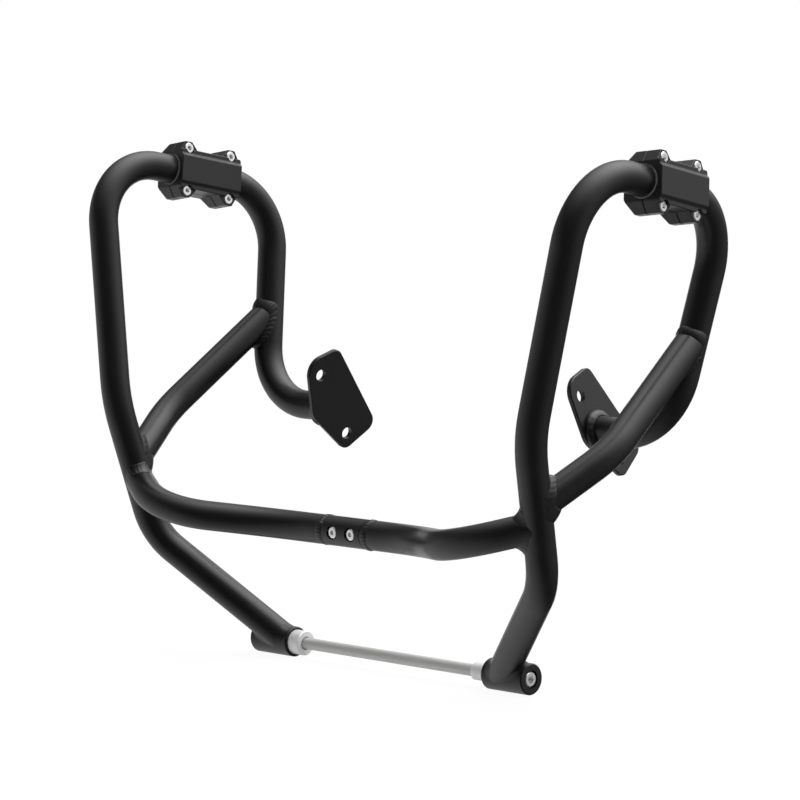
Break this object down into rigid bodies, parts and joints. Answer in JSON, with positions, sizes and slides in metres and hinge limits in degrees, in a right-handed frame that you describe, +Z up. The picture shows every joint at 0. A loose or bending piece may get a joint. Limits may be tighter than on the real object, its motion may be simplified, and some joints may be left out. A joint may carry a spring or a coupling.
{
  "type": "motorcycle crash bars",
  "caption": "Pair of welded black tube loops joined by a bolted cross tube and an engine rod, with clamped slider blocks, guarding a motorcycle's engine and fairing in a fall.",
  "frame": {"origin": "middle of the engine rod, on its axis", "axes": "+X along the engine rod towards the motorcycle's right side, +Y to the rear, +Z up"},
  "size_m": [0.5858, 0.2407, 0.4416],
  "materials": {
    "frame_coat": "satin black powder coat",
    "slider_black": "matte black anodised",
    "liner_rubber": "matt dark grey",
    "screw_steel": "bright",
    "spacer_metal": "bare turned",
    "rod_steel": "dull zinc"
  },
  "bodies": {
    "root": {"engine_rod": "rod_steel", "left_boss": "frame_coat", "left_brace_tube": "frame_coat", "left_cross_tube": "frame_coat", "left_end_cap": "screw_steel", "left_joint_screw": "screw_steel", "left_joint_tongue": "frame_coat", "left_main_tube": "frame_coat", "left_mount_plate": "frame_coat", "left_slider_back_half": "slider_black", "left_slider_head_half": "slider_black", "left_slider_liner": "liner_rubber", "left_slider_screw_1": "screw_steel", "left_slider_screw_2": "screw_steel", "left_slider_screw_3": "screw_steel", "left_slider_screw_4": "screw_steel", "left_spacer": "spacer_metal", "right_boss": "frame_coat", "right_brace_tube": "frame_coat", "right_cross_tube": "frame_coat", "right_end_cap": "screw_steel", "right_joint_screw": "screw_steel", "right_joint_tongue": "frame_coat", "right_main_tube": "frame_coat", "right_mount_plate": "frame_coat", "right_slider_back_half": "slider_black", "right_slider_head_half": "slider_black", "right_slider_liner": "liner_rubber", "right_slider_screw_1": "screw_steel", "right_slider_screw_2": "screw_steel", "right_slider_screw_3": "screw_steel", "right_slider_screw_4": "screw_steel", "right_spacer": "spacer_metal"}
  },
  "joints": []
}
